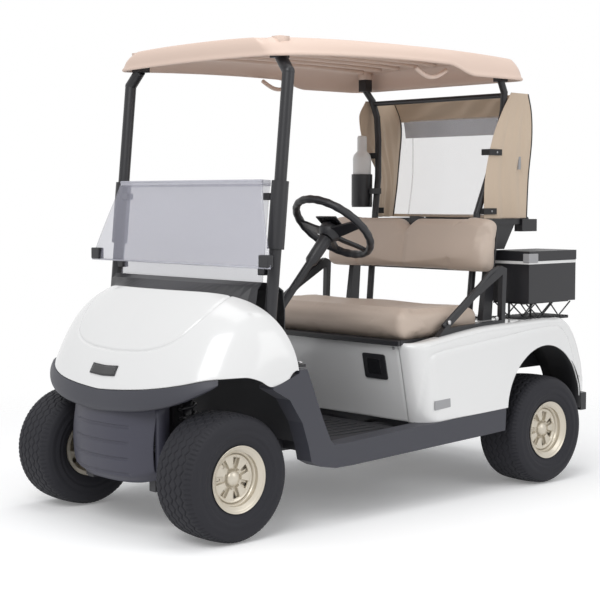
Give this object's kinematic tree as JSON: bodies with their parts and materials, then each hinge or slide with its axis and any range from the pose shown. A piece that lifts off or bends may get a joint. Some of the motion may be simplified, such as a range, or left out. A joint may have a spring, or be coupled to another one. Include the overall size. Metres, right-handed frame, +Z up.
{
  "type": "golf cart",
  "caption": "Two-seat electric golf cart with canopy, folded windscreen, bench seat, hip restraints, bag cover, bag rack and rear cooler, on four turf tyres",
  "frame": {"origin": "on the ground under the middle of the overall box, with the wheels standing on z = 0", "axes": "+X the driver's side (vehicle left), -Y the front, +Z up"},
  "size_m": [1.196, 2.2936, 1.8097],
  "materials": {
    "frame": "satin black powder coat",
    "front_arms": "black paint",
    "front_shocks": "black coil springs",
    "rack_housing": "cast",
    "rear_axle": "cast housing",
    "rear_springs": "black leaf steel",
    "rear_shocks": "black",
    "battery_pack": "one block for the pack",
    "floor_pan": "ribbed mat",
    "sills": "dark grey moulding",
    "front_cowl": "white gloss",
    "front_bumper": "dark grey moulding",
    "front_apron": "dark grey moulding",
    "dash": "black moulding",
    "steering_column": "black",
    "pedals": "black pads",
    "rear_body": "white gloss",
    "bag_well": "black moulding",
    "rear_bumper": "black moulding",
    "seat_back": "beige vinyl",
    "seat_back_shell": "black shell",
    "seat_posts": "black",
    "hip_restraints": "black",
    "bag_rack": "black",
    "front_struts": "black tube",
    "rear_struts": "black tube",
    "canopy": "beige moulding",
    "windscreen_lower": "clear acrylic",
    "windscreen_upper": "clear acrylic",
    "screen_clips": "black clips",
    "bag_cover": "tan canvas",
    "bag_cover_window": "clear vinyl",
    "cooler_body": "black",
    "cooler_rack": "black wire",
    "sand_bottle": "white bottle in a black holder",
    "seat_cushion": "beige vinyl",
    "seat_base": "black base",
    "cooler_lid": "black lid",
    "steering_wheel": "black grip",
    "steering_rack": "steel",
    "knuckle_left": "black",
    "knuckle_right": "black",
    "tyre_front_left": "turf tyre",
    "rim_front_left": "champagne metallic",
    "tyre_front_right": "turf tyre",
    "rim_front_right": "champagne metallic",
    "tyre_rear_left": "turf tyre",
    "rim_rear_left": "champagne metallic",
    "tyre_rear_right": "turf tyre",
    "rim_rear_right": "champagne metallic"
  },
  "bodies": {
    "chassis": {"frame": "frame", "front_arms": "front_arms", "front_shocks": "front_shocks", "rack_housing": "rack_housing", "rear_axle": "rear_axle", "rear_springs": "rear_springs", "rear_shocks": "rear_shocks", "battery_pack": "battery_pack", "floor_pan": "floor_pan", "sills": "sills", "front_cowl": "front_cowl", "front_bumper": "front_bumper", "front_apron": "front_apron", "dash": "dash", "steering_column": "steering_column", "pedals": "pedals", "rear_body": "rear_body", "bag_well": "bag_well", "rear_bumper": "rear_bumper", "seat_back": "seat_back", "seat_back_shell": "seat_back_shell", "seat_posts": "seat_posts", "hip_restraints": "hip_restraints", "bag_rack": "bag_rack", "front_struts": "front_struts", "rear_struts": "rear_struts", "canopy": "canopy", "windscreen_lower": "windscreen_lower", "windscreen_upper": "windscreen_upper", "screen_clips": "screen_clips", "bag_cover": "bag_cover", "bag_cover_window": "bag_cover_window", "cooler_body": "cooler_body", "cooler_rack": "cooler_rack", "sand_bottle": "sand_bottle"},
    "steering_wheel": {"steering_wheel": "steering_wheel"},
    "steering_rack": {"steering_rack": "steering_rack"},
    "knuckle_left": {"knuckle_left": "knuckle_left"},
    "knuckle_right": {"knuckle_right": "knuckle_right"},
    "wheel_front_left": {"tyre_front_left": "tyre_front_left", "rim_front_left": "rim_front_left"},
    "wheel_front_right": {"tyre_front_right": "tyre_front_right", "rim_front_right": "rim_front_right"},
    "wheel_rear_left": {"tyre_rear_left": "tyre_rear_left", "rim_rear_left": "rim_rear_left"},
    "wheel_rear_right": {"tyre_rear_right": "tyre_rear_right", "rim_rear_right": "rim_rear_right"},
    "seat_lid": {"seat_cushion": "seat_cushion", "seat_base": "seat_base"},
    "cooler_lid": {"cooler_lid": "cooler_lid"}
  },
  "joints": [
    {"name": "steer_left", "type": "hinge", "parent": "chassis", "child": "knuckle_left", "pos_m": [0.33, -0.9182, 0.2286], "axis": [0, 0, 1], "range_deg": [-28, 28]},
    {"name": "steer_right", "type": "hinge", "parent": "chassis", "child": "knuckle_right", "pos_m": [-0.33, -0.9182, 0.2286], "axis": [0, 0, 1], "range_deg": [-28, 28]},
    {"name": "rack_slide", "type": "slide", "parent": "chassis", "child": "steering_rack", "axis": [1, 0, 0], "range_m": [-0.0705, 0.0705]},
    {"name": "steering_turn", "type": "hinge", "parent": "chassis", "child": "steering_wheel", "pos_m": [0.28, -0.2142, 1.094], "axis": [0, 0.6615, 0.75], "range_deg": [-336, 336]},
    {"name": "roll_front_left", "type": "hinge", "parent": "knuckle_left", "child": "wheel_front_left", "pos_m": [0.45, -0.9182, 0.2286], "axis": [1, 0, 0], "continuous": true},
    {"name": "roll_front_right", "type": "hinge", "parent": "knuckle_right", "child": "wheel_front_right", "pos_m": [-0.45, -0.9182, 0.2286], "axis": [1, 0, 0], "continuous": true},
    {"name": "roll_rear_left", "type": "hinge", "parent": "chassis", "child": "wheel_rear_left", "pos_m": [0.49, 0.7518, 0.2286], "axis": [1, 0, 0], "continuous": true},
    {"name": "roll_rear_right", "type": "hinge", "parent": "chassis", "child": "wheel_rear_right", "pos_m": [-0.49, 0.7518, 0.2286], "axis": [1, 0, 0], "continuous": true},
    {"name": "seat_tilt", "type": "hinge", "parent": "chassis", "child": "seat_lid", "pos_m": [0, 0.4338, 0.648], "axis": [-1, 0, 0], "range_deg": [0, 60]},
    {"name": "cooler_open", "type": "hinge", "parent": "chassis", "child": "cooler_lid", "pos_m": [0.447, 0.9808, 0.946], "axis": [-1, 0, 0], "range_deg": [0, 100]}
  ],
  "couplings": [
    {"joint": "steer_right", "follows": "steer_left", "ratio": 1},
    {"joint": "rack_slide", "follows": "steer_left", "m_per_rad": -0.144},
    {"joint": "steering_turn", "follows": "steer_left", "ratio": 12}
  ]
}
